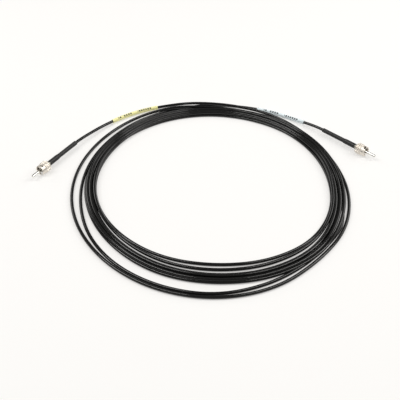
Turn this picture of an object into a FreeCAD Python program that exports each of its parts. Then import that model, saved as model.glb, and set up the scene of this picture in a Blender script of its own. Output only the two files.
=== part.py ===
"""Fibre optic patch cable: a loose coil of black cable with a sprung bayonet connector on each end.

Millimetres, +Z up. The cable lies on the plane Z = 0 and the origin is in the middle of its outline.
"""
import FreeCAD, Part
import math
import os
import Sketcher
from FreeCAD import Placement, Rotation, Vector

# Driving dimensions. Stations along a connector are measured back from the tip of its ferrule.
SIZES = {
    "cable_diameter": 2.9,
    "cable_slip": 0.05,
    "coil_centre_x": 4.6,
    "coil_centre_y": 5.25,
    "coil_inner_radius": 102.0,
    "coil_width_right": 15.5,
    "coil_width_back": 15.0,
    "coil_width_left": 12.5,
    "coil_width_front": 20.0,
    "coil_bulge": 0.93,
    "coil_layers": 2,
    "marker_length": 55.0,
    "marker_wall": 0.45,
    "marker_a_start": 82.5,
    "marker_b_start": 57.5,
    "tip_a_out": 60.7,
    "tip_a_back": 1.2,
    "tip_a_angle": 58.5,
    "tip_b_out": 51.75,
    "tip_b_back": 31.1,
    "tip_b_angle": 135.0,
    "ferrule_diameter": 2.5,
    "ferrule_reach": 9.8,
    "ferrule_seat": 3.6,
    "ferrule_seat_diameter": 2.1,
    "ferrule_chamfer": 0.35,
    "press_gap": 0.01,
    "fibre_diameter": 0.125,
    "fibre_gap": 0.01,
    "buffer_diameter": 0.9,
    "buffer_gap": 0.05,
    "nut_front_diameter": 9.3,
    "nut_grip_diameter": 10.2,
    "nut_grip_length": 5.4,
    "nut_bore": 7.3,
    "nut_back_wall": 1.5,
    "nut_chamfer": 0.25,
    "grip_chamfer": 0.4,
    "knurl_count": 32,
    "knurl_depth": 0.3,
    "slot_width": 1.8,
    "slot_entry": 1.2,
    "slot_side": 1.6,
    "slot_depth": 2.9,
    "slot_clear": 0.8,
    "turning_gap": 0.15,
    "face_gap": 0.05,
    "nose_setback": 1.2,
    "nose_diameter": 4.9,
    "nose_length": 2.5,
    "nose_chamfer": 0.3,
    "key_width": 0.9,
    "key_height": 0.75,
    "key_setback": 0.4,
    "flange_length": 0.9,
    "stem_diameter": 4.6,
    "stem_tail": 0.45,
    "spring_space": 3.4,
    "spring_wire": 0.45,
    "spring_diameter": 5.75,
    "spring_turns": 3,
    "washer_thickness": 0.5,
    "ring_thickness": 0.6,
    "ring_diameter": 6.4,
    "ring_groove": 3.8,
    "ring_opening": 50.0,
    "collar_diameter": 4.7,
    "collar_length": 1.4,
    "crimp_stem_diameter": 3.2,
    "crimp_stem_length": 4.7,
    "crimp_rib": 0.12,
    "yarn_thickness": 0.16,
    "yarn_gap": 0.02,
    "crimp_wall": 0.25,
    "crimp_grip": 4.5,
    "boot_length": 37.8,
    "boot_front_diameter": 4.9,
    "boot_front_length": 11.2,
    "boot_taper": 2.5,
    "boot_end_diameter": 4.2,
    "boot_chamfer": 0.25,
    "boot_lip": 0.15,
    "boot_slip": 0.2,
    "lead_straight": 9.0,
}

# Places that each lead goes past after its straight run: right and back of the coil's middle, in hundredths
# of the coil's inner radius, and lift off the floor, in cable diameters.
ROUTE_A = [
    (-100.5, 89.3, 0.45), (-70.5, 110.3, 0.35), (-36.9, 120.9, 0.5), (-16.9, 120.5, 1.2), (8.3, 119.2, 1.2),
    (31, 115.6, 0.85), (56.9, 107, 0.6), (82.2, 88.1, 0.2), (101, 58.3, 0), (116, 20.4, 0),
    (119.5, -21.1, 0), (108.6, -62.7, 0), (81.6, -97.3, 0), (45.3, -124.4, 0), (0, -134.4, 0),
    (-45.5, -125, 0), (-83.4, -99.4, 0), (-110, -63.5, 0), (-123.5, -21.8, 0), (-121.9, 21.5, 0),
    (-106.8, 61.7, 0), (-79.4, 94.6, 0.3), (-44.8, 110.9, 1.15), (-16.2, 115.1, 1.1), (19.9, 112.7, 0.9),
    (51.2, 96.2, 0.7),
]
ROUTE_B = [
    (84.5, 93.8, 0.33), (62.5, 108, 0.23), (36.5, 118.6, 0.2), (0, 123.3, 0), (-37.2, 114.5, 0),
    (-69.7, 95.8, 0), (-94.1, 68.4, 0), (-110.6, 35.9, 0), (-116.7, 0, 0), (-113.1, -36.8, 0),
    (-99.9, -72.6, 0), (-74.6, -102.7, 0), (-39.9, -123.1, 0), (0, -130.8, 0), (39.3, -120.8, 0),
    (72.2, -99.4, 0), (89.2, -64.8, 0),
]

doc = FreeCAD.newDocument("patch_cable")
sheet = doc.addObject("Spreadsheet::Sheet", "sizes")
for row, (alias, size) in enumerate(SIZES.items(), start=1):
    sheet.set(f"A{row}", alias)
    sheet.set(f"B{row}", str(size))
    sheet.setAlias(f"B{row}", alias)
doc.recompute()

subparts = []


def worth(expression):
    """The number that an expression of the sheet's sizes comes to."""
    return float(sheet.evalExpression(expression.replace("sizes.", "")))


def size(alias):
    return worth(f"sizes.{alias}")


# Stations of a connector's pieces, as expressions of the sizes.
RIM = "sizes.ferrule_reach"
NOSE_FRONT = f"{RIM} + sizes.nose_setback"
FLANGE_FRONT = f"{NOSE_FRONT} + sizes.nose_length"
FLANGE_BACK = f"{FLANGE_FRONT} + sizes.flange_length"
WASHER_FRONT = f"{FLANGE_BACK} + sizes.spring_space"
WALL_FRONT = f"{WASHER_FRONT} + sizes.washer_thickness"
NUT_BACK = f"{WALL_FRONT} + sizes.nut_back_wall"
GRIP_FRONT = f"{NUT_BACK} - sizes.nut_grip_length"
RING_FRONT = f"{NUT_BACK} + sizes.face_gap"
RING_BACK = f"{RING_FRONT} + sizes.ring_thickness"
COLLAR_FRONT = f"{RING_BACK} + sizes.stem_tail"
COLLAR_BACK = f"{COLLAR_FRONT} + sizes.collar_length"
BOOT_FRONT = f"{COLLAR_BACK} + sizes.face_gap"
CRIMP_STEM_BACK = f"{COLLAR_BACK} + sizes.crimp_stem_length"
JACKET_END = f"{CRIMP_STEM_BACK} + sizes.face_gap"
CRIMP_BACK = f"{JACKET_END} + sizes.crimp_grip"
BOOT_BACK = f"{BOOT_FRONT} + sizes.boot_length"
BEND = f"{BOOT_BACK} + sizes.lead_straight"

# Place of each ferrule's tip, outside the coil.
TIP_X = {
    "a": "sizes.coil_centre_x - sizes.coil_inner_radius - sizes.tip_a_out",
    "b": "sizes.coil_centre_x + sizes.coil_inner_radius + sizes.tip_b_out",
}
TIP_Y = {end: f"sizes.coil_centre_y + sizes.tip_{end}_back" for end in "ab"}

# Radii that two pieces share, as expressions of the sizes.
CABLE_R = "sizes.cable_diameter / 2"
GRIP_R = "sizes.nut_grip_diameter / 2"
FRONT_R = "sizes.nut_front_diameter / 2"
BORE_R = "sizes.nut_bore / 2"
STEM_R = "sizes.stem_diameter / 2"
FLANGE_R = f"{BORE_R} - sizes.turning_gap"
STEM_HOLE_R = f"{STEM_R} + sizes.turning_gap"
SEAT_R = "sizes.ferrule_seat_diameter / 2 + sizes.press_gap"
BUFFER_HOLE_R = "sizes.buffer_diameter / 2 + sizes.buffer_gap"
CRIMP_STEM_R = "sizes.crimp_stem_diameter / 2"
YARN_IN_R = f"{CRIMP_STEM_R} + sizes.yarn_gap"
YARN_OUT_R = f"{YARN_IN_R} + sizes.yarn_thickness"
CRIMP_IN_R = f"{YARN_OUT_R} + sizes.yarn_gap"
CRIMP_OUT_R = f"{CRIMP_IN_R} + sizes.crimp_wall"
JACKET_HOLE_R = f"{CABLE_R} + sizes.cable_slip"


def plane(body, role):
    return next(item for item in body.Origin.OriginFeatures if item.Role == role)


def new_sketch(body, name, role):
    sketch = body.newObject("Sketcher::SketchObject", name)
    sketch.AttachmentSupport = (plane(body, role), [""])
    sketch.MapMode = "FlatFace"
    return sketch


def fix(sketch, edge, end, across, up):
    """Ties one end of a sketch edge to two expressions, measured from the sketch's origin."""
    for kind, expression in (("DistanceX", across), ("DistanceY", up)):
        index = sketch.addConstraint(Sketcher.Constraint(kind, -1, 1, edge, end, worth(expression)))
        sketch.setExpression(f"Constraints[{index}]", expression)


def draw_outline(sketch, corners):
    """A closed outline of straight edges through corners given as pairs of expressions."""
    places = [Vector(worth(across), worth(up), 0) for across, up in corners]
    count = len(places)
    for i in range(count):
        sketch.addGeometry(Part.LineSegment(places[i], places[(i + 1) % count]), False)
    for i in range(count):
        sketch.addConstraint(Sketcher.Constraint("Coincident", i, 2, (i + 1) % count, 1))
    for i, (across, up) in enumerate(corners):
        fix(sketch, i, 1, across, up)


def turned(name, corners, angle="360"):
    """A turned body: its half section, as station and radius, revolved about the connector's axis."""
    body = doc.addObject("PartDesign::Body", name)
    sketch = new_sketch(body, f"{name}_section", "XY_Plane")
    draw_outline(sketch, corners)
    spin = body.newObject("PartDesign::Revolution", f"{name}_turned")
    spin.Profile = sketch
    spin.ReferenceAxis = (sketch, ["H_Axis"])
    spin.setExpression("Angle", angle)
    doc.recompute()
    return body


def seat(body, end):
    """Puts a connector's piece at that end of the cable, with the nut's grip on the floor."""
    body.Placement = Placement(Vector(), Rotation(Vector(0, 0, 1), size(f"tip_{end}_angle")))
    body.setExpression(".Placement.Base.x", TIP_X[end])
    body.setExpression(".Placement.Base.y", TIP_Y[end])
    body.setExpression(".Placement.Base.z", GRIP_R)
    body.setExpression(".Placement.Rotation.Angle", f"sizes.tip_{end}_angle")
    subparts.append(body)


def make_ferrule(name):
    """Pin that holds the fibre, with a shoulder against the barrel's nose."""
    radius, seated = "sizes.ferrule_diameter / 2", "sizes.ferrule_seat_diameter / 2"
    hole = "sizes.fibre_diameter / 2 + sizes.fibre_gap"
    back, shoulder = f"{NOSE_FRONT} + sizes.ferrule_seat", f"{NOSE_FRONT} - sizes.face_gap"
    return turned(name, [
        ("0", hole), ("0", f"{radius} - sizes.ferrule_chamfer"), ("sizes.ferrule_chamfer", radius),
        (shoulder, radius), (shoulder, seated), (back, seated), (back, hole),
    ])


def make_fibre_end(name):
    """The bare fibre in the ferrule and the buffered fibre behind it, back to the end of the jacket."""
    step = f"{NOSE_FRONT} + sizes.ferrule_seat + sizes.face_gap"
    fibre, buffer = "sizes.fibre_diameter / 2", "sizes.buffer_diameter / 2"
    return turned(name, [
        ("0", "0"), ("0", fibre), (step, fibre), (step, buffer), (JACKET_END, buffer), (JACKET_END, "0"),
    ])


def make_barrel(name):
    """Turned body: nose with its key, flange for the spring, stem, collar and ribbed crimp stem."""
    nose = "sizes.nose_diameter / 2"
    collar, groove = "sizes.collar_diameter / 2", "sizes.ring_groove / 2"
    seat_end = f"{NOSE_FRONT} + sizes.ferrule_seat + sizes.face_gap"
    rib = "sizes.crimp_stem_length / 5"
    valley = f"{CRIMP_STEM_R} - sizes.crimp_rib"
    ribs = []
    for step in (1, 3):
        start, end = f"{COLLAR_BACK} + {step} * {rib}", f"{COLLAR_BACK} + {step + 1} * {rib}"
        ribs += [(start, CRIMP_STEM_R), (start, valley), (end, valley), (end, CRIMP_STEM_R)]
    body = turned(name, [
        (NOSE_FRONT, SEAT_R), (NOSE_FRONT, f"{nose} - sizes.nose_chamfer"),
        (f"{NOSE_FRONT} + sizes.nose_chamfer", nose), (FLANGE_FRONT, nose),
        (FLANGE_FRONT, FLANGE_R), (FLANGE_BACK, FLANGE_R), (FLANGE_BACK, STEM_R),
        (f"{RING_FRONT} - sizes.yarn_gap", STEM_R), (f"{RING_FRONT} - sizes.yarn_gap", groove),
        (f"{RING_BACK} + sizes.yarn_gap", groove), (f"{RING_BACK} + sizes.yarn_gap", STEM_R),
        (COLLAR_FRONT, STEM_R), (COLLAR_FRONT, collar), (COLLAR_BACK, collar), (COLLAR_BACK, CRIMP_STEM_R),
        *ribs, (CRIMP_STEM_BACK, CRIMP_STEM_R), (CRIMP_STEM_BACK, BUFFER_HOLE_R),
        (seat_end, BUFFER_HOLE_R), (seat_end, SEAT_R),
    ])
    key = new_sketch(body, f"{name}_key_outline", "XY_Plane")
    key.setExpression("AttachmentOffset.Base.z", f"{nose} - sizes.nose_chamfer")
    front, half = f"{NOSE_FRONT} + sizes.key_setback", "sizes.key_width / 2"
    draw_outline(key, [
        (front, f"-{half}"), (FLANGE_FRONT, f"-{half}"), (FLANGE_FRONT, half), (front, half),
    ])
    pad = body.newObject("PartDesign::Pad", f"{name}_key")
    pad.Profile = key
    pad.setExpression("Length", "sizes.key_height + sizes.nose_chamfer")
    doc.recompute()
    return body


def make_spring(name):
    """Open coil spring from the flange back to the thrust washer."""
    body = doc.addObject("PartDesign::Body", name)
    wire = new_sketch(body, f"{name}_wire", "XY_Plane")
    start = f"{FLANGE_BACK} + sizes.face_gap + sizes.spring_wire / 2"
    middle = Vector(worth(start), size("spring_diameter") / 2, 0)
    wire.addGeometry(Part.Circle(middle, Vector(0, 0, 1), size("spring_wire") / 2), False)
    fix(wire, 0, 3, start, "sizes.spring_diameter / 2")
    index = wire.addConstraint(Sketcher.Constraint("Radius", 0, size("spring_wire") / 2))
    wire.setExpression(f"Constraints[{index}]", "sizes.spring_wire / 2")
    coil = body.newObject("PartDesign::AdditiveHelix", f"{name}_coil")
    coil.Profile = wire
    coil.ReferenceAxis = (wire, ["H_Axis"])
    coil.Mode = "height-turns-angle"
    coil.setExpression("Height", "sizes.spring_space - sizes.spring_wire - 2 * sizes.face_gap")
    coil.setExpression("Turns", "sizes.spring_turns")
    doc.recompute()
    return body


def make_thrust_washer(name):
    return turned(name, [
        (WASHER_FRONT, STEM_HOLE_R), (WASHER_FRONT, FLANGE_R),
        (f"{WALL_FRONT} - sizes.face_gap", FLANGE_R), (f"{WALL_FRONT} - sizes.face_gap", STEM_HOLE_R),
    ])


def cut_slots(body, name):
    """Two bayonet slots through the nut's front wall: a straight entry, then a ramp to a round detent."""
    top, depth = GRIP_R, f"{GRIP_R} - {BORE_R} + sizes.slot_side + sizes.slot_clear"
    half, side = "sizes.slot_width / 2", "sizes.slot_side"
    entry_end, detent = f"{RIM} + sizes.slot_entry", f"{RIM} + sizes.slot_depth"
    outside = f"{RIM} - sizes.slot_clear"

    entry = new_sketch(body, f"{name}_entry_outline", "XY_Plane")
    draw_outline(entry, [
        (outside, f"{side} - {half}"), (entry_end, f"{side} - {half}"),
        (entry_end, f"{side} + {half}"), (outside, f"{side} + {half}"),
    ])
    ramp = new_sketch(body, f"{name}_ramp_outline", "XY_Plane")
    first = Vector(worth(entry_end), size("slot_side"), 0)
    last = Vector(worth(detent), -size("slot_side"), 0)
    lean = math.atan2(last.y - first.y, last.x - first.x)
    sideways = Vector(-math.sin(lean), math.cos(lean), 0) * size("slot_width") / 2
    for middle, turn in ((first, math.pi / 2), (last, -math.pi / 2)):
        circle = Part.Circle(middle, Vector(0, 0, 1), size("slot_width") / 2)
        ramp.addGeometry(Part.ArcOfCircle(circle, lean + turn, lean + turn + math.pi), False)
    ramp.addGeometry(Part.LineSegment(first - sideways, last - sideways), False)
    ramp.addGeometry(Part.LineSegment(last + sideways, first + sideways), False)
    for one, end, other, start in ((0, 2, 2, 1), (2, 2, 1, 1), (1, 2, 3, 1), (3, 2, 0, 1)):
        ramp.addConstraint(Sketcher.Constraint("Tangent", one, end, other, start))
    fix(ramp, 0, 3, entry_end, side)
    fix(ramp, 1, 3, detent, f"-{side}")
    index = ramp.addConstraint(Sketcher.Constraint("Radius", 0, size("slot_width") / 2))
    ramp.setExpression(f"Constraints[{index}]", half)

    cuts = []
    for sketch, piece in ((entry, "entry"), (ramp, "ramp")):
        sketch.setExpression("AttachmentOffset.Base.z", top)
        cut = body.newObject("PartDesign::Pocket", f"{name}_{piece}")
        cut.Profile = sketch
        cut.setExpression("Length", depth)
        cuts.append(cut)
        doc.recompute()
    repeat(body, f"{name}_slots", cuts, "2")


def cut_knurl(body, name):
    """Straight knurl: one V groove along the grip, repeated round the axis."""
    groove = new_sketch(body, f"{name}_groove_outline", "YZ_Plane")
    root, half = f"{GRIP_R} - sizes.knurl_depth", "sizes.knurl_depth"
    draw_outline(groove, [
        ("0", root), (half, f"{GRIP_R} + sizes.face_gap"), (f"-{half}", f"{GRIP_R} + sizes.face_gap"),
    ])
    cut = body.newObject("PartDesign::Pocket", f"{name}_groove")
    cut.Profile = groove
    cut.Reversed = True
    cut.setExpression("Length", NUT_BACK)
    doc.recompute()
    repeat(body, f"{name}_knurl", [cut], "sizes.knurl_count")


def repeat(body, name, features, count):
    """Copies features evenly round the connector's axis."""
    pattern = body.newObject("PartDesign::PolarPattern", name)
    pattern.Originals = features
    pattern.Axis = (plane(body, "X_Axis"), [""])
    pattern.Angle = 360
    pattern.setExpression("Occurrences", count)
    body.Tip = pattern
    doc.recompute()


def make_bayonet_nut(name):
    bevel, chamfer = "sizes.grip_chamfer", "sizes.nut_chamfer"
    body = turned(name, [
        (RIM, f"{BORE_R} + {chamfer}"), (RIM, f"{FRONT_R} - {chamfer}"), (f"{RIM} + {chamfer}", FRONT_R),
        (GRIP_FRONT, FRONT_R), (GRIP_FRONT, f"{GRIP_R} - {bevel}"), (f"{GRIP_FRONT} + {bevel}", GRIP_R),
        (f"{NUT_BACK} - {bevel}", GRIP_R), (NUT_BACK, f"{GRIP_R} - {bevel}"), (NUT_BACK, STEM_HOLE_R),
        (WALL_FRONT, STEM_HOLE_R), (WALL_FRONT, BORE_R), (f"{RIM} + {chamfer}", BORE_R),
    ])
    blank = body.Shape.Volume
    cut_slots(body, name)
    slotted = body.Shape.Volume
    cut_knurl(body, name)
    print(f"{name}: blank {blank:.1f}, slotted {slotted:.1f}, knurled {body.Shape.Volume:.1f} mm3")
    return body


def make_retaining_ring(name):
    inside = "sizes.ring_groove / 2 + sizes.yarn_gap"
    outside = "sizes.ring_diameter / 2"
    return turned(name, [
        (RING_FRONT, inside), (RING_FRONT, outside), (RING_BACK, outside), (RING_BACK, inside),
    ], "360 - sizes.ring_opening")


def make_crimp_sleeve(name):
    front, step = f"{COLLAR_BACK} + sizes.face_gap", JACKET_END
    return turned(name, [
        (front, CRIMP_IN_R), (front, CRIMP_OUT_R), (CRIMP_BACK, CRIMP_OUT_R),
        (CRIMP_BACK, JACKET_HOLE_R), (step, JACKET_HOLE_R), (step, CRIMP_IN_R),
    ])


def make_strength_yarn(name):
    front = f"{COLLAR_BACK} + 2 * sizes.face_gap"
    back = f"{JACKET_END} - sizes.face_gap"
    return turned(name, [(front, YARN_IN_R), (front, YARN_OUT_R), (back, YARN_OUT_R), (back, YARN_IN_R)])


def make_boot(name):
    """Strain relief: a slim tube, wider inside and out over the crimp sleeve."""
    front, end = "sizes.boot_front_diameter / 2", "sizes.boot_end_diameter / 2"
    over_crimp, step = f"{CRIMP_OUT_R} + sizes.cable_slip", f"{CRIMP_BACK} + sizes.face_gap"
    hole = f"{CABLE_R} + sizes.boot_slip"
    shoulder = f"{BOOT_FRONT} + sizes.boot_front_length"
    return turned(name, [
        (BOOT_FRONT, over_crimp), (BOOT_FRONT, f"{front} - sizes.boot_chamfer"),
        (f"{BOOT_FRONT} + sizes.boot_chamfer", front), (shoulder, front),
        (f"{shoulder} + sizes.boot_taper", end), (f"{BOOT_BACK} - sizes.boot_lip", end),
        (BOOT_BACK, f"{end} - sizes.boot_lip"), (BOOT_BACK, hole), (step, hole), (step, over_crimp),
    ])


CONNECTOR_PIECES = {
    "ferrule": make_ferrule,
    "fibre_end": make_fibre_end,
    "barrel": make_barrel,
    "spring": make_spring,
    "thrust_washer": make_thrust_washer,
    "bayonet_nut": make_bayonet_nut,
    "retaining_ring": make_retaining_ring,
    "crimp_sleeve": make_crimp_sleeve,
    "strength_yarn": make_strength_yarn,
    "boot": make_boot,
}


def cable_line(name, end, route):
    """The middle line of a lead: straight out of the connector, then past its places in tangent arcs."""
    tip = Vector(worth(TIP_X[end]), worth(TIP_Y[end]), worth(GRIP_R))
    angle = math.radians(size(f"tip_{end}_angle"))
    back = Vector(math.cos(angle), math.sin(angle), 0)
    points = [tip + back * worth(station) for station in (JACKET_END, BEND)]
    middle = Vector(size("coil_centre_x"), size("coil_centre_y"), worth(CABLE_R))
    across, thick = size("coil_inner_radius") / 100, size("cable_diameter")
    points += [middle + Vector(x * across, y * across, lift * thick) for x, y, lift in route]
    edges, radii, at = [], [], points[0]
    for before, corner, after in zip(points, points[1:], points[2:]):
        arrive, leave = corner - before, after - corner
        tangent = 0.45 * min(arrive.Length, leave.Length)
        half_turn = arrive.getAngle(leave) / 2
        radius = tangent / math.tan(half_turn)
        arrive.normalize()
        leave.normalize()
        inwards = (leave - arrive).normalize()
        middle = corner + inwards * radius * (1 / math.cos(half_turn) - 1)
        start, finish = corner - arrive * tangent, corner + leave * tangent
        edges += [Part.LineSegment(at, start).toShape(), Part.Arc(start, middle, finish).toShape()]
        radii.append(radius)
        at = finish
    edges.append(Part.LineSegment(at, points[-1]).toShape())
    print(f"{name}: bend radii " + ", ".join(f"{radius:.0f}" for radius in radii) + " mm")
    return Part.Wire(edges)


def stretch(line, start, end):
    """The part of a line between two lengths along it."""
    edges, done = [], 0.0
    for edge in line.OrderedEdges:
        low, high = max(start - done, 0), min(end - done, edge.Length)
        if low < high:
            edges.append(edge.Curve.toShape(edge.getParameterByLength(low), edge.getParameterByLength(high)))
        done += edge.Length
    return Part.Wire(edges)


def tube(line, radius):
    """A solid round bar along a line, with its volume compared with section times length."""
    first = line.OrderedEdges[0]
    ring = Part.Circle(first.valueAt(first.FirstParameter), first.tangentAt(first.FirstParameter), radius)
    bar = line.makePipeShell([Part.Wire(ring.toShape())], True, True)
    expected = math.pi * radius ** 2 * line.Length
    if abs(bar.Volume - expected) > 0.001 * expected:
        raise ValueError(f"tube volume {bar.Volume:.1f}, section times length {expected:.1f}")
    return bar


def add_shape(name, shape):
    feature = doc.addObject("Part::Feature", name)
    feature.Shape = shape
    subparts.append(feature)


def make_leads_and_markers():
    for end, route in (("a", ROUTE_A), ("b", ROUTE_B)):
        line = cable_line(f"cable_lead_{end}", end, route)
        print(f"cable_lead_{end}: {line.Length:.0f} mm long")
        add_shape(f"cable_lead_{end}", tube(line, worth(CABLE_R)))
        start = size(f"marker_{end}_start")
        covered = stretch(line, start, start + size("marker_length"))
        inside = worth(JACKET_HOLE_R)
        sleeve = tube(covered, inside + size("marker_wall")).cut(tube(covered, inside))
        add_shape(f"marker_sleeve_{end}", sleeve)


def coil_disc(reaches, height):
    """A flat disc about the coil's middle with its own reach on each side, fuller between front and right."""
    middle = Vector(size("coil_centre_x"), size("coil_centre_y"), 0)
    ways = (Vector(1, 0, 0), Vector(0, 1, 0), Vector(-1, 0, 0), Vector(0, -1, 0))
    sides = [way * reach for way, reach in zip(ways, reaches)]
    even = math.sqrt(0.5)
    quarters = []
    for here, there, weight in zip(sides, sides[1:] + sides[:1], (even, even, even, size("coil_bulge"))):
        arc = Part.BezierCurve()
        arc.setPoles([middle + here, middle + here + there, middle + there])
        arc.setWeight(2, weight)
        quarters.append(arc.toShape())
    return Part.Face(Part.Wire(quarters)).extrude(Vector(0, 0, height))


def make_coil():
    """Outer shape of the bundled turns: a low ring, wider in front, with edges as round as the cable."""
    inner = size("coil_inner_radius")
    widths = [size(f"coil_width_{side}") for side in ("right", "back", "left", "front")]
    layer_rise = math.sqrt(0.75)
    height = size("cable_diameter") * (1 + (size("coil_layers") - 1) * layer_rise)
    ring = coil_disc([inner + width for width in widths], height).cut(coil_disc([inner] * len(widths), height))
    rims = [edge for edge in ring.Edges if edge.BoundBox.ZLength < size("face_gap")]
    add_shape("cable_coil", ring.makeFillet(0.9 * worth(CABLE_R), rims))


for end in ("a", "b"):
    for kind, make in CONNECTOR_PIECES.items():
        seat(make(f"{kind}_{end}"), end)
make_leads_and_markers()
make_coil()
doc.recompute()

for item in doc.Objects:
    if "Invalid" in item.State or "Error" in item.State:
        raise RuntimeError(f"{item.Name} failed: {item.State}")
for item in subparts:
    if item.Shape.isNull() or not item.Shape.isValid():
        raise RuntimeError(f"{item.Label} has no valid shape")

os.makedirs("parts", exist_ok=True)
whole = FreeCAD.BoundBox()
for item in subparts:
    item.Shape.exportStep(f"parts/{item.Label}.step")
    whole.add(item.Shape.optimalBoundingBox())
print(f"{len(subparts)} pieces, X {whole.XMin:.1f} to {whole.XMax:.1f}, "
      f"Y {whole.YMin:.1f} to {whole.YMax:.1f}, Z {whole.ZMin:.2f} to {whole.ZMax:.2f}")
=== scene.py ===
# %% [markdown]
# A black fibre optic patch cable lies coiled on a white table, with a metal bayonet connector on each end.
# The connectors come from the CAD model as they are, apart from their springs, which are merged copies. The
# cable itself is drawn again here as one smooth curve, because a curve can show the separate turns that the
# CAD model holds as one solid ring.

# %% Load the CAD model
import math
import random

import bpy
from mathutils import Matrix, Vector


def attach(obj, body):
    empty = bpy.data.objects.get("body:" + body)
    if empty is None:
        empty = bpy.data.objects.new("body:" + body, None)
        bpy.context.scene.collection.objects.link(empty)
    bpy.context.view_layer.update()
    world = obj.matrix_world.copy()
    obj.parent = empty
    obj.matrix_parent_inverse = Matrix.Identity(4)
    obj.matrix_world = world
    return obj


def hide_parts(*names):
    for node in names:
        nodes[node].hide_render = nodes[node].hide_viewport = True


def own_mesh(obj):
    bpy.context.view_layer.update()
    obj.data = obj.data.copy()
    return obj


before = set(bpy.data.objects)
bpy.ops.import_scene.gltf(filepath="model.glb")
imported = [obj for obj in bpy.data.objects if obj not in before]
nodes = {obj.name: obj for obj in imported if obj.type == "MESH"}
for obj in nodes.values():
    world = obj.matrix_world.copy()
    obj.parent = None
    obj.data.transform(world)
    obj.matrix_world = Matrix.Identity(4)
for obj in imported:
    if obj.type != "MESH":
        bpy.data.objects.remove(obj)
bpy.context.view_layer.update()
MM = 0.001

# %% [markdown]
# The camera goes first, so that every later piece can be compared with the photograph. The photograph looks
# down at the table at 42 degrees with a moderate lens. One could aim the camera with a constraint, but a
# plain place and turn are easier to read and give the same frame on every run.

# %% Camera
CAMERA_PLACE = (-0.0064, -0.42065, 0.3613)
CAMERA_TILT = math.radians(48)  # up from straight down
CAMERA_LENS, SENSOR_WIDTH = 55.26, 36  # millimetres

bpy.ops.object.select_all(action="DESELECT")
bpy.ops.object.camera_add(location=CAMERA_PLACE, rotation=(CAMERA_TILT, 0, 0))
camera = bpy.context.object
camera.data.lens, camera.data.sensor_width = CAMERA_LENS, SENSOR_WIDTH
bpy.context.scene.camera = camera
print("camera lens in mm:", CAMERA_LENS)

# %% [markdown]
# Where the cable runs: each connector has an axis, from its tip back to the cable, and the loose part of the
# cable starts inside the connector's boot. The places are those of the CAD tubes, moved by a few millimetres
# where the photograph asks for it. They are given from the middle of the coil, in hundredths of its inner
# radius, with the lift off the table in cable diameters.

# %% The cable's route outside the bundle
CABLE_DIAMETER = 2.9 * MM
COIL_MIDDLE = Vector((4.6, 5.25)) * MM
COIL_INNER_RADIUS = 102 * MM
AXIS_HEIGHT = 5.1 * MM

JACKET_END = 27.05 * MM  # from the connector's tip, inside the crimp sleeve
INSIDE_BOOT = 52 * MM
FIRST_BEND = 69.15 * MM


class Connector:
    """The axis of one connector: its tip, and the direction from the tip back to the cable."""

    def __init__(self, tip_x, tip_y, angle):
        self.tip = Vector((tip_x * MM, tip_y * MM, AXIS_HEIGHT))
        self.back = Vector((math.cos(math.radians(angle)), math.sin(math.radians(angle)), 0))

    def at(self, station):
        return self.tip + self.back * station


connectors = {"a": Connector(-158.1, 6.45, 58.5), "b": Connector(158.35, 36.35, 135)}

ROUTE_A = (
    (-100.5, 89.3, 0.45), (-70.5, 110.3, 0.35), (-36.9, 120.3, 0.5), (-16.9, 120.2, 1.2), (8.3, 118.4, 1.2),
    (30.4, 113.6, 1.05), (55.6, 104.6, 0.7), (80.4, 86.1, 0.2), (100, 57.7, 0), (115.4, 20.3, 0),
    (119.5, -21.1, 0), (108.4, -62.6, 0), (81, -96.6, 0), (45.3, -124.4, 0), (0, -134.4, 0), (-45.5, -125, 0),
    (-83.4, -99.4, 0), (-110, -63.5, 0), (-123.5, -21.8, 0), (-121.9, 21.5, 0), (-106.8, 61.7, 0),
    (-79.4, 94.6, 0.3), (-44.8, 111.2, 1.15), (-16.2, 114.9, 1.1), (19.9, 110.8, 0.9), (53.4, 99.6, 0.8),
)
ROUTE_B = (
    (84.5, 93.8, 0.33), (62.5, 107.6, 0.22), (36.5, 116.9, 0.15), (0, 122.3, 0), (-37.2, 114.5, 0),
    (-69.7, 95.8, 0), (-94.1, 68.4, 0), (-110.1, 35.7, 0), (-116, 0, 0), (-112.5, -36.6, 0),
    (-99.6, -72.4, 0), (-74.6, -102.7, 0), (-39.9, -123.1, 0), (0, -130.8, 0), (39.3, -120.8, 0),
    (72.2, -99.4, 0), (97.9, -71.1, 0),
)


def lifted(x, y, lift):
    return Vector((x, y, CABLE_DIAMETER * (0.5 + lift)))


def lead(connector, route):
    """Points of a lead, from the connector to the bundle."""
    start = [connector.at(station) for station in (JACKET_END, INSIDE_BOOT, FIRST_BEND)]
    share = COIL_INNER_RADIUS / 100
    loose = [lifted(COIL_MIDDLE.x + x * share, COIL_MIDDLE.y + y * share, lift) for x, y, lift in route]
    return start + loose


lead_a = lead(connectors["a"], ROUTE_A)
lead_b = lead(connectors["b"], ROUTE_B)
print("points on the leads:", len(lead_a), len(lead_b))

# %% [markdown]
# The bundle: seven and a bit turns that lie together, wound clockwise from outside to inside on the table and
# then back outwards on top. A helix or an array would give turns that are all alike. Real turns slip, so each
# one has its own reach at the right, the front, the left and the back, and points on quarter ellipses join
# them. A spline of this kind runs a little inside its points, and the points are put that much further out.

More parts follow.
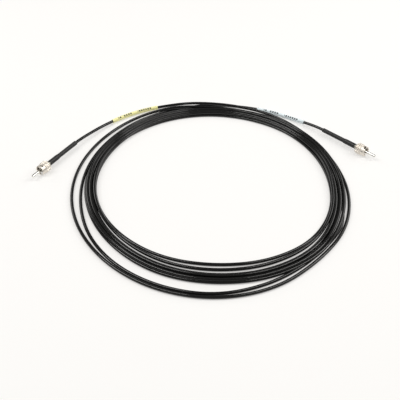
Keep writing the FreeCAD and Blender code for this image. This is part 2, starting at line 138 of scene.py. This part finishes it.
# %% The turns of the bundle
FLOOR, RAISED, TOP = 0, 0.7, 0.87  # lift of a turn, in cable diameters
TURNS = (  # reach in millimetres and lift, at the right, the front, the left and the back
    ((116.2, RAISED), (120.2, FLOOR), (113.9, FLOOR), (110.3, FLOOR)),
    ((111.4, FLOOR), (116.4, FLOOR), (110.5, FLOOR), (107.4, FLOOR)),
    ((108.5, FLOOR), (112.2, FLOOR), (107.8, FLOOR), (104.5, FLOOR)),
    ((105.6, FLOOR), (102.0, FLOOR), (105.4, FLOOR), (105.6, TOP)),
    ((106.6, TOP), (106.9, FLOOR), (106.1, TOP), (108.7, TOP)),
    ((109.2, 1.0), (115.0, RAISED), (109.2, TOP), (111.9, TOP)),
    ((112.9, TOP), (118.7, RAISED), (112.3, TOP), (115.4, 0.5)),
)
FROM_LEAD_A = (115.5, RAISED)  # at the back, before the first turn
INTO_LEAD_B = ((114.3, FLOOR), (131.0, FLOOR))  # at the right and the front, after the last turn
SIDES = (Vector((0, 1)), Vector((1, 0)), Vector((0, -1)), Vector((-1, 0)))  # back, right, front, left
QUARTER_POINTS = 4
SPARE_POINTS = 2  # at each end of the turns, where the leads take over
OUTWARD = 1 / math.cos(math.pi / 4 / QUARTER_POINTS)
BULGES = (0, 6.3, -1.6, 0)  # millimetres further out half way to the next side: back, right, front, left
SLIP = 0.5  # millimetres that a point strays

random.seed(7)
stations = [FROM_LEAD_A, *(station for turn in TURNS for station in turn), *INTO_LEAD_B]
turn_points = []
for number, ((reach, lift), (next_reach, next_lift)) in enumerate(zip(stations, stations[1:])):
    side, next_side = SIDES[number % 4], SIDES[(number + 1) % 4]
    for step in range(QUARTER_POINTS):
        angle = math.pi / 2 * step / QUARTER_POINTS
        ahead = math.sin(angle) ** 2
        further = BULGES[number % 4] * math.sin(2 * angle) ** 2 + random.uniform(-SLIP, SLIP)
        across = side * reach * math.cos(angle) + next_side * next_reach * math.sin(angle)
        spot = COIL_MIDDLE + (across + across.normalized() * further) * MM * OUTWARD
        turn_points.append(lifted(spot.x, spot.y, lift + (next_lift - lift) * ahead))
turn_points = turn_points[SPARE_POINTS:-SPARE_POINTS]
print("points on the turns:", len(turn_points))

# %% [markdown]
# One open spline carries the whole cable: lead A, the turns, and lead B backwards. The order and the end
# setting come after the points, because a spline with one point can't hold them yet.

# %% The cable
SPLINE_ORDER, SPLINE_STEPS = 3, 12
CABLE_ROUNDNESS = 6


def round_curve(name, kind, points, radius, roundness):
    """A curve with a round bevel. A radius of 0 leaves the bare line."""
    curve = bpy.data.curves.new(name, "CURVE")
    curve.dimensions = "3D"
    curve.bevel_depth, curve.bevel_resolution = radius, roundness
    spline = curve.splines.new(kind)
    spline.points.add(len(points) - 1)
    for control, point in zip(spline.points, points):
        control.co = (*point, 1)
    if kind == "NURBS":
        spline.order_u = SPLINE_ORDER
        spline.use_endpoint_u = True
        spline.resolution_u = SPLINE_STEPS
    piece = bpy.data.objects.new(name, curve)
    bpy.context.scene.collection.objects.link(piece)
    return piece


cable_points = lead_a + turn_points + lead_b[::-1]
cable = round_curve("cable", "NURBS", cable_points, CABLE_DIAMETER / 2, CABLE_ROUNDNESS)
cable.data.use_fill_caps = True


def centre_line(points):
    """Points read from the bare spline, in order along it."""
    bare = round_curve("bare line", "NURBS", points, 0, 0)
    mesh = bpy.data.meshes.new_from_object(bare)
    line = [vertex.co.copy() for vertex in mesh.vertices]
    bpy.data.objects.remove(bare)
    bpy.data.meshes.remove(mesh)
    return line


cable_line = centre_line(cable_points)

# %% [markdown]
# Each end of the cable has a printed marker sleeve, a thin plastic tube pushed over the jacket. It follows
# the cable's own line: the stretch of the line under the sleeve becomes a bevelled curve, which is made a
# mesh and given the wall's thickness by Solidify. A straight cylinder bent by a modifier would miss the line.

# %% The marker sleeves
SLEEVE_LENGTH = 55 * MM
SLEEVE_START = {"a": 82.5 * MM, "b": 55.3 * MM}  # along the cable, from its own end
SLEEVE_WALL = 0.45 * MM
WALL_FILL = 0.9  # share of the wall that is solid, with air between it and the jacket
SLEEVE_ROUNDNESS = 8
SMOOTH_ANGLE = math.radians(40)


def stretch(line, start, length):
    """The points of a line between two distances along it."""
    picked, gone = [], 0
    for a, b in zip(line, line[1:]):
        if start <= gone <= start + length:
            picked.append(a)
        gone += (b - a).length
    return picked


def select_only(piece):
    bpy.ops.object.select_all(action="DESELECT")
    piece.select_set(True)
    bpy.context.view_layer.objects.active = piece


def marker_sleeve(name, line):
    sleeve = round_curve(name, "POLY", line, CABLE_DIAMETER / 2 + SLEEVE_WALL, SLEEVE_ROUNDNESS)
    select_only(sleeve)
    bpy.ops.object.convert(target="MESH")
    wall = sleeve.modifiers.new("wall", "SOLIDIFY")
    wall.thickness = SLEEVE_WALL * WALL_FILL
    wall.offset = -1
    bpy.ops.object.modifier_apply(modifier=wall.name)
    bpy.ops.object.shade_smooth_by_angle(angle=SMOOTH_ANGLE)
    return sleeve


sleeves = {}
for end, order in (("a", 1), ("b", -1)):
    under = stretch(cable_line[::order], SLEEVE_START[end], SLEEVE_LENGTH)
    sleeves[end] = marker_sleeve("printed_marker_" + end, under[::order])
    print(sleeves[end].name, "faces:", len(sleeves[end].data.polygons))

# %% [markdown]
# Finishes are built from shader nodes. Linking Math nodes by hand in code gets long, and a formula is lost in
# it. So one small class wraps a socket and lets Python's own operators add the Math nodes.

# %% Arithmetic on sockets


class Wire:
    """An output socket. Arithmetic on it adds Math nodes."""

    def __init__(self, finish, socket):
        self.finish, self.socket = finish, socket

    def math(self, operation, first, second=0.0):
        return self.finish.node("Math", {"operation": operation}, {0: first, 1: second})

    def __add__(self, other):
        return self.math("ADD", self, other)

    def __sub__(self, other):
        return self.math("SUBTRACT", self, other)

    def __rsub__(self, other):
        return self.math("SUBTRACT", other, self)

    def __mul__(self, other):
        return self.math("MULTIPLY", self, other)

    def __truediv__(self, other):
        return self.math("DIVIDE", self, other)

    def __rtruediv__(self, other):
        return self.math("DIVIDE", other, self)

    def __gt__(self, other):
        return self.math("GREATER_THAN", self, other)

    def __lt__(self, other):
        return self.math("LESS_THAN", self, other)

    def __abs__(self):
        return self.math("ABSOLUTE", self)

    __radd__, __rmul__ = __add__, __mul__

    def wave(self, length):
        """Rises and falls between 0 and 1, once in each length."""
        return self.math("SINE", self * (2 * math.pi / length)) * 0.5 + 0.5

    def between(self, low, high):
        """Runs from low to high as the wire runs from 0 to 1."""
        return self * (high - low) + low


print("operators ready:", Wire.__name__)

# %% [markdown]
# A second class holds one material. One method adds any kind of node with its settings and its inputs, and a
# few short ones add what every finish here needs: a place on the piece, noise, a colour between two, and a
# bump. Blender's node groups could hold these too, but they are harder to read in code.

# %% A finish


class Finish:
    """A material with one Principled shader."""

    def __init__(self, name, **plain):
        self.material = bpy.data.materials.new(name)
        self.material.use_nodes = True
        self.tree = self.material.node_tree
        self.shader = self.tree.nodes["Principled BSDF"]
        self.feed(**plain)

    def node(self, kind, settings=None, inputs=None, output=0):
        made = self.tree.nodes.new("ShaderNode" + kind)
        for setting, value in (settings or {}).items():
            if setting == "stops":
                for stop, (place, colour) in zip(made.color_ramp.elements, value):
                    stop.position, stop.color = place, (*colour, 1)
            else:
                setattr(made, setting, value)
        for socket, value in (inputs or {}).items():
            self.connect(made.inputs[socket], value)
        return Wire(self, made.outputs[output])

    def connect(self, socket, value):
        if isinstance(value, Wire):
            self.tree.links.new(value.socket, socket)
        else:
            socket.default_value = value

    def feed(self, **sockets):
        for socket, value in sockets.items():
            self.connect(self.shader.inputs[socket.replace("_", " ")], value)
        return self

    def place(self):
        return self.node("TexCoord", output="Object")

    def noise(self, scale, detail=2.0):
        return self.node("TexNoise", inputs={"Vector": self.place(), "Scale": scale, "Detail": detail})

    def shade(self, amount, dark, light):
        """A colour between two, by an amount from 0 to 1."""
        return self.node("ValToRGB", {"stops": ((0.0, dark), (1.0, light))}, {"Fac": amount})

    def bump(self, height, depth, strength=1.0):
        return self.node("Bump", inputs={"Height": height, "Distance": depth, "Strength": strength})


print("finish helpers ready:", Finish.__name__)

# %% [markdown]
# The jacket is black PVC. It is glossy enough to show long highlights where a turn faces a lamp, and it has a
# slight unevenness from the extruder. The boots are a duller, greyer moulding with a finer grain. Noise on
# the object's own place gives both without any picture.

# %% Jacket and boot finishes
JACKET_BLACK = ((0.002, 0.002, 0.002), (0.005, 0.005, 0.0045))
BOOT_BLACK = ((0.011, 0.011, 0.0105), (0.020, 0.0195, 0.019))


def black_plastic(name, colours, gloss, roughness, mottle, detail, grain, grain_depth):
    finish = Finish(name, Specular_IOR_Level=gloss)
    tone = finish.noise(mottle, detail)
    return finish.feed(
        Base_Color=finish.shade(tone, *colours),
        Roughness=tone.between(*roughness),
        Normal=finish.bump(finish.noise(grain), grain_depth),
    ).material


jacket_finish = black_plastic(
    "black jacket", JACKET_BLACK, gloss=0.5, roughness=(0.10, 0.16),
    mottle=140, detail=2, grain=300, grain_depth=0.01 * MM,
)
boot_finish = black_plastic(
    "black boot", BOOT_BLACK, gloss=0.45, roughness=(0.42, 0.56),
    mottle=420, detail=4, grain=2600, grain_depth=0.03 * MM,
)
print("finishes:", jacket_finish.name, boot_finish.name)

# %% [markdown]
# The nuts and crimp sleeves are turned brass with a warm nickel plate, and the ferrules are polished. The
# barrels are painted dark brass, a painted shade that stands for the shadow inside the nut. A lathe leaves
# fine rings round the axis. A dot product with the axis gives the distance along the connector, whichever way
# it points on the table, and a sine of it gives the rings.

# %% Metal finishes
METALS = {  # dark and light colour, roughness from and to, and depth of the rings
    "warm nickel": (((0.80, 0.75, 0.68), (0.88, 0.83, 0.76)), (0.48, 0.58), 0.0015 * MM),
    "polished steel": (((0.70, 0.69, 0.65), (0.78, 0.77, 0.72)), (0.10, 0.16), 0.001 * MM),
    # the barrels' dark colour is painted shade, standing for the shadow inside the nut round the ferrule
    "painted shade brass": (((0.26, 0.25, 0.22), (0.34, 0.33, 0.29)), (0.35, 0.50), 0.0015 * MM),
    "spring wire": (((0.30, 0.30, 0.31), (0.46, 0.46, 0.47)), (0.25, 0.40), 0.006 * MM),
}
RING_PITCH, RING_STRENGTH = 0.35 * MM, 0.4
STAIN_SCALE, STAIN_DETAIL = 240, 3


def turned_metal(name, connector, colours, roughness, ring_depth):
    finish = Finish(name, Metallic=1.0)
    place_and_axis = {0: finish.place(), 1: connector.back}
    along = finish.node("VectorMath", {"operation": "DOT_PRODUCT"}, place_and_axis, "Value")
    stain = finish.noise(STAIN_SCALE, STAIN_DETAIL)
    return finish.feed(
        Base_Color=finish.shade(stain, *colours),
        Roughness=stain.between(*roughness),
        Normal=finish.bump(along.wave(RING_PITCH), ring_depth, RING_STRENGTH),
    ).material


metals = {}
for end, connector in connectors.items():
    for kind, how in METALS.items():
        metals[kind, end] = turned_metal(f"{kind} {end}", connector, *how)
print("metal finishes:", len(metals))

# %% [markdown]
# The marker sleeves are satin plastic, pale yellow at one end and pale blue at the other, with two short rows
# of dark print. The print is only a rhythm of small blocks, drawn from the sleeve's own UV map so that it
# follows the bend: U runs along the sleeve and V goes round it.

# %% Marker sleeve finishes
PALE_YELLOW = ((0.94, 0.90, 0.38), (0.98, 0.95, 0.50))
PALE_BLUE = ((0.76, 0.86, 0.90), (0.85, 0.93, 0.96))
SLEEVE_SATIN = (0.35, 0.50)  # roughness
SLEEVE_MOTTLE, SLEEVE_DETAIL, SLEEVE_GRAIN = 300, 3, 0.04 * MM
PRINT_INK, INK_COVER = (0.01, 0.01, 0.012, 1), 0.95
PRINT_ROWS = ((0.13, 0.43), (0.56, 0.87))  # along the sleeve
PRINT_PITCH = 1 / 21
PRINT_GAP, PRINT_MISSES = 0.3, 0.1  # blank share of a pitch, and share of the blocks left out
PRINT_SIDE, PRINT_HALF_HEIGHT = 0.28, 0.075  # round the sleeve


def printed_sleeve(name, colours):
    finish = Finish(name)
    along = finish.node("SeparateXYZ", inputs={"Vector": finish.node("TexCoord", output="UV")})
    around = Wire(finish, along.socket.node.outputs["Y"])
    block = finish.node("Math", {"operation": "FLOOR"}, {0: along / PRINT_PITCH})
    within = finish.node("Math", {"operation": "FRACT"}, {0: along / PRINT_PITCH})
    chance = finish.node("TexWhiteNoise", {"noise_dimensions": "1D"}, {"W": block})
    row = sum((along > start) * (along < stop) for start, stop in PRINT_ROWS)
    line = abs(around - PRINT_SIDE) < PRINT_HALF_HEIGHT
    mark = row * line * (within > PRINT_GAP) * (chance > PRINT_MISSES)
    tone = finish.noise(SLEEVE_MOTTLE, SLEEVE_DETAIL)
    layers = {"Factor": mark * INK_COVER, "A": finish.shade(tone, *colours), "B": PRINT_INK}
    return finish.feed(
        Base_Color=finish.node("Mix", {"data_type": "RGBA"}, layers, "Result"),
        Roughness=tone.between(*SLEEVE_SATIN),
        Normal=finish.bump(tone, SLEEVE_GRAIN),
    ).material


marker_finish = {
    "a": printed_sleeve("yellow marker", PALE_YELLOW),
    "b": printed_sleeve("blue marker", PALE_BLUE),
}
print("marker finishes:", [finish.name for finish in marker_finish.values()])

# %% [markdown]
# Inside each connector the fibre in its pale buffer runs to the ferrule, and the golden strength yarn is
# folded over the barrel's stem under the crimp sleeve. Neither shows in the photograph. Fine noise gives both
# a thready look, which is enough for pieces that are only seen when a connector is taken apart.

# %% Fibre and yarn finishes
BUFFER_WHITE = ((0.75, 0.74, 0.70), (0.85, 0.84, 0.80))
YARN_GOLD = ((0.62, 0.50, 0.18), (0.78, 0.66, 0.30))
THREAD_MATT = (0.5, 0.8)  # roughness
THREAD_DETAIL, THREAD_DEPTH = 4, 0.1 * MM


def thready(name, colours, threads):
    finish = Finish(name)
    tone = finish.noise(threads, THREAD_DETAIL)
    return finish.feed(
        Base_Color=finish.shade(tone, *colours),
        Roughness=tone.between(*THREAD_MATT),
        Normal=finish.bump(tone, THREAD_DEPTH),
    ).material


buffer_finish = thready("fibre buffer", BUFFER_WHITE, threads=900)
yarn_finish = thready("strength yarn", YARN_GOLD, threads=2400)
print("finishes:", buffer_finish.name, yarn_finish.name)

# %% [markdown]
# Every CAD node takes the finish of the real piece. The list is by the start of a node's name, since both
# ends have the same pieces. What isn't in a list is cable, and takes the jacket's finish.

# %% Finishes on the CAD nodes and the new pieces
METAL_PIECES = {
    "bayonet_nut": "warm nickel", "retaining_ring": "warm nickel", "crimp_sleeve": "warm nickel",
    # the barrels take the dark brass, a painted shade for the inside of the nut
    "thrust_washer": "warm nickel", "barrel": "painted shade brass", "ferrule": "polished steel",
    "spring": "spring wire",
}
OTHER_PIECES = {"boot": boot_finish, "fibre_end": buffer_finish, "strength_yarn": yarn_finish}


def paint(piece, finish):
    piece.data.materials.clear()
    piece.data.materials.append(finish)


for name, node in nodes.items():
    kind, end = name.rsplit("_", 1)
    if kind in METAL_PIECES:
        paint(node, metals[METAL_PIECES[kind], end])
    else:
        paint(node, OTHER_PIECES.get(kind, jacket_finish))
paint(cable, jacket_finish)
for end, sleeve in sleeves.items():
    paint(sleeve, marker_finish[end])
print("painted:", len(nodes) + 1 + len(sleeves))

# %% [markdown]
# A real spring shortens when its nut is pushed forwards, and a CAD node keeps its shape. Here each spring is
# a merged copy of its CAD node on the cable's body, and it doesn't shorten. A blend between two bodies could
# make it shorten, but it would close up the middle turn more than the others.

# %% The springs
MERGE_DISTANCE = 0.001 * MM


def merged_copy(name, node):
    piece = bpy.data.objects.new(name, node.data.copy())
    bpy.context.scene.collection.objects.link(piece)
    select_only(piece)
    bpy.ops.object.mode_set(mode="EDIT")
    bpy.ops.mesh.select_all(action="SELECT")
    bpy.ops.mesh.remove_doubles(threshold=MERGE_DISTANCE)
    bpy.ops.object.mode_set(mode="OBJECT")
    return piece


springs = {}
for end, connector in connectors.items():
    spring = springs[end] = merged_copy("coil_spring_" + end, nodes["spring_" + end])
    distances = [(vertex.co - connector.tip).dot(connector.back) for vertex in spring.data.vertices]
    front, spring_length = min(distances), max(distances) - min(distances)
    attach(spring, "cable")
    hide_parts("spring_" + end)
    connector.at(front)
    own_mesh(spring)

# %% [markdown]
# The table is a large white sheet. It takes the cable's soft shadow, and part of what the camera sees of it
# is plain white, as in a bright photograph. Far from the cable it fades to plain white altogether, which
# hides its edge. A curved backdrop would hide it too, but it would stand behind the cable in other views.

# %% The table
SEEN_RAYS = ("Is Camera Ray", "Is Glossy Ray", "Is Transmission Ray")
TABLE_SIZE = 8
TABLE_WHITE = ((0.90, 0.895, 0.885), (0.915, 0.91, 0.90))
TABLE_MOTTLE = 3
TABLE_GLOW = 0.45  # share of plain white in the table as it is seen
FADE_START, FADE_LENGTH = 0.6, 1.2  # metres from the middle, where the table turns plain white
PLAIN_WHITE = (1, 0.985, 0.965, 1)


def white_table():
    finish = Finish("white table", Roughness=0.9, Specular_IOR_Level=0.1)
    finish.feed(Base_Color=finish.shade(finish.noise(TABLE_MOTTLE), *TABLE_WHITE))
    seen = sum(finish.node("LightPath", output=ray) for ray in SEEN_RAYS)
    distance = finish.node("VectorMath", {"operation": "LENGTH"}, {0: finish.place()}, "Value")
    way_out = {0: distance - FADE_START, 1: FADE_LENGTH}
    fade = finish.node("Math", {"operation": "DIVIDE", "use_clamp": True}, way_out)
    far = finish.node("LightPath", output="Is Camera Ray") * fade
    both = finish.node("MixShader", inputs={
        0: seen * TABLE_GLOW + far * (1 - TABLE_GLOW),
        1: Wire(finish, finish.shader.outputs["BSDF"]),
        2: finish.node("Emission", inputs={"Color": PLAIN_WHITE, "Strength": 1.0}),
    })
    finish.connect(finish.tree.nodes["Material Output"].inputs["Surface"], both)
    return finish.material


bpy.ops.object.select_all(action="DESELECT")
bpy.ops.mesh.primitive_plane_add(size=TABLE_SIZE)
table_top = bpy.context.object
table_top.name = "table_top"
paint(table_top, white_table())
print("table in m:", TABLE_SIZE)

# %% [markdown]
# The light is soft: a dim room, two long softboxes at the sides and two small ones behind. The photograph
# shows that, because the turns shine on the diagonals of the coil and stay dark at the front and back. The
# camera sees the room as the table's plain white. A room that is white in the reflections too would turn the
# black jacket grey.

# %% The light
ROOM_LIGHT = 0.24
LAMP_COLOUR = (1, 0.99, 0.97)
SOFTBOXES = {  # place, width, length and power
    "left_softbox": ((-0.80, 0.04, 1.38), 0.35, 1.3, 12.8),
    "right_softbox": ((0.92, 0.10, 1.30), 0.35, 1.5, 13),
    "back_left_softbox": ((-1.0, 0.9, 0.6), 0.6, 0.6, 2.5),
    "back_right_softbox": ((1.05, 0.75, 0.65), 0.8, 0.6, 3.6),
}


def softbox(name, place, width, length, power):
    bpy.ops.object.select_all(action="DESELECT")
    bpy.ops.object.light_add(type="AREA", location=place)
    lamp = bpy.context.object
    lamp.name = name
    lamp.rotation_euler = (-Vector(place)).to_track_quat("-Z", "Y").to_euler()
    lamp.data.shape = "RECTANGLE"
    lamp.data.size, lamp.data.size_y = width, length
    lamp.data.energy = power
    lamp.data.color = LAMP_COLOUR
    return lamp


class Room(Finish):
    """The world behind everything, with one Background shader."""

    def __init__(self, name):
        self.world = bpy.data.worlds.new(name)
        self.world.use_nodes = True
        self.tree = self.world.node_tree
        self.shader = self.tree.nodes["Background"]


def dim_room():
    room = Room("dim room")
    seen = room.node("LightPath", output="Is Camera Ray")
    room.feed(Color=PLAIN_WHITE, Strength=seen.between(ROOM_LIGHT, 1))
    return room.world


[softbox(name, *how) for name, how in SOFTBOXES.items()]
bpy.context.scene.world = dim_room()
bpy.context.scene.view_settings.view_transform = "Standard"
print("lamps:", len(SOFTBOXES))

# %% [markdown]
# The cable and the marker sleeves join the cable's body, and the CAD model's own cable and marker sleeve
# nodes are hidden.

# %% The new pieces on the cable's body
EXIT = connectors["a"].at(JACKET_END)

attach(cable, "cable")
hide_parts("cable_coil", "cable_lead_a", "cable_lead_b")
for end, colour in (("a", "marker_yellow"), ("b", "marker_blue")):
    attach(sleeves[end], "cable")
    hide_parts("marker_sleeve_" + end)
